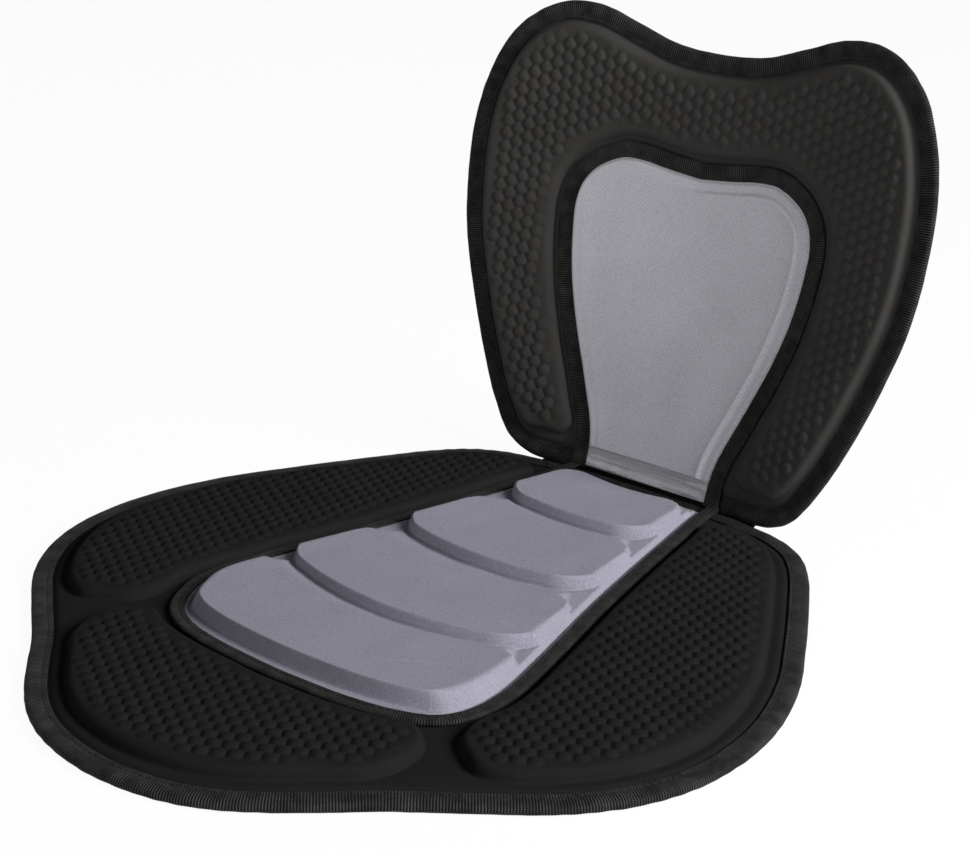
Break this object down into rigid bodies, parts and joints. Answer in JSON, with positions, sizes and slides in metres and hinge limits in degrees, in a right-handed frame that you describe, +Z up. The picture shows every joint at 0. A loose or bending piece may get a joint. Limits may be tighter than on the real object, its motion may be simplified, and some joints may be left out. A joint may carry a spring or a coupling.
{
  "type": "kayak seat",
  "caption": "Moulded kayak seat: flat padded base with stepped grey bars and a low, leaning, curved back with a smooth grey shield, edges bound in ribbed tape.",
  "frame": {"origin": "on the seat's underside, on the middle plane, halfway along the seat", "axes": "+Z up, +Y towards the back, +X to the paddler's left when seated"},
  "size_m": [0.4298, 0.4954, 0.2852],
  "materials": {
    "black_foam": "black stretch cloth moulded onto foam, matt",
    "black_tape": "black ribbed binding tape",
    "black_cover": "plain black backing cloth",
    "grey_cloth": "grey twill moulded onto foam, matt",
    "stiff_board": "plain polyethylene board"
  },
  "bodies": {
    "root": {"seat_panel": "black_foam", "seat_insert": "grey_cloth", "seat_insert_binding": "black_tape", "seat_edge_binding": "black_tape", "seat_underside_cover": "black_cover", "back_panel": "black_foam", "back_insert": "grey_cloth", "back_insert_binding": "black_tape", "back_edge_binding": "black_tape", "back_rear_cover": "black_cover", "back_stiffener": "stiff_board", "hinge_flap": "black_cover"}
  },
  "joints": []
}
